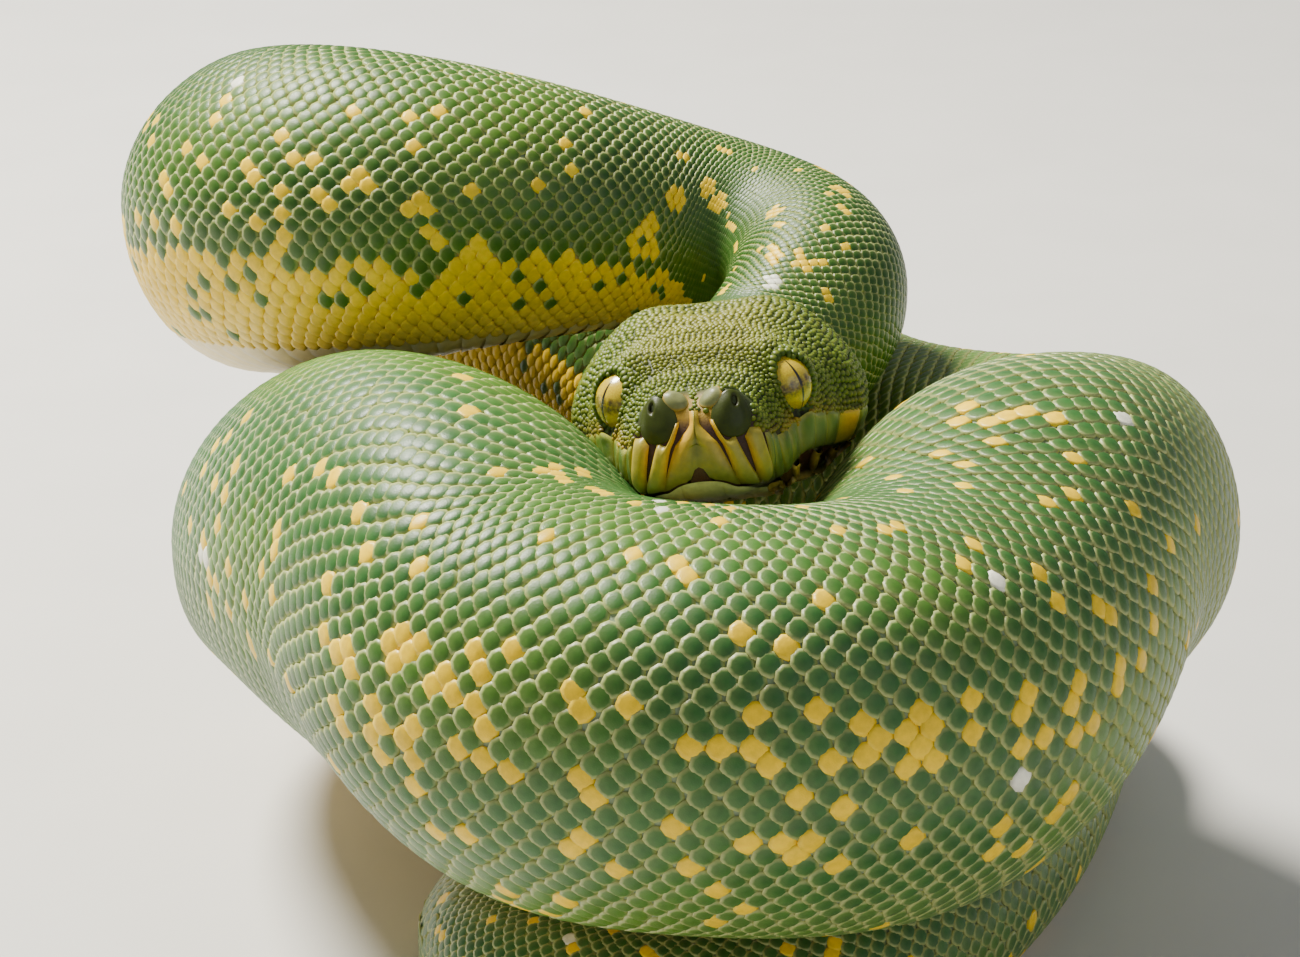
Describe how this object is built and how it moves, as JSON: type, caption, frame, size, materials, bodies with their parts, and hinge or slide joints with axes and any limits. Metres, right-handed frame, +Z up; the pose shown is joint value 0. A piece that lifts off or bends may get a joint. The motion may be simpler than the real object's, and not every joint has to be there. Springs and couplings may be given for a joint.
{
  "type": "coiled green tree python",
  "caption": "Green tree python resting in three stacked coils, head in the middle facing forward on the front turn, tail curled on the floor beneath.",
  "frame": {"origin": "on the floor under the middle of the coil's bounding box", "axes": "+Z up, the head faces -Y, +X to the right of someone facing the head"},
  "size_m": [0.1602, 0.2014, 0.1135],
  "materials": {
    "head_skin": "satin granular scales",
    "jaw_skin": "satin plates",
    "body_skin": "satin overlapping scales",
    "eye": "wet gloss"
  },
  "bodies": {
    "root": {"head": "head_skin", "lower_jaw": "jaw_skin", "eye_left": "eye", "eye_right": "eye", "neck": "body_skin", "trunk_01": "body_skin", "trunk_02": "body_skin", "trunk_03": "body_skin", "trunk_04": "body_skin", "trunk_05": "body_skin", "trunk_06": "body_skin", "trunk_07": "body_skin", "trunk_08": "body_skin", "trunk_09": "body_skin", "trunk_10": "body_skin", "trunk_11": "body_skin", "trunk_12": "body_skin", "tail_01": "body_skin", "tail_02": "body_skin", "tail_03": "body_skin"}
  },
  "joints": []
}
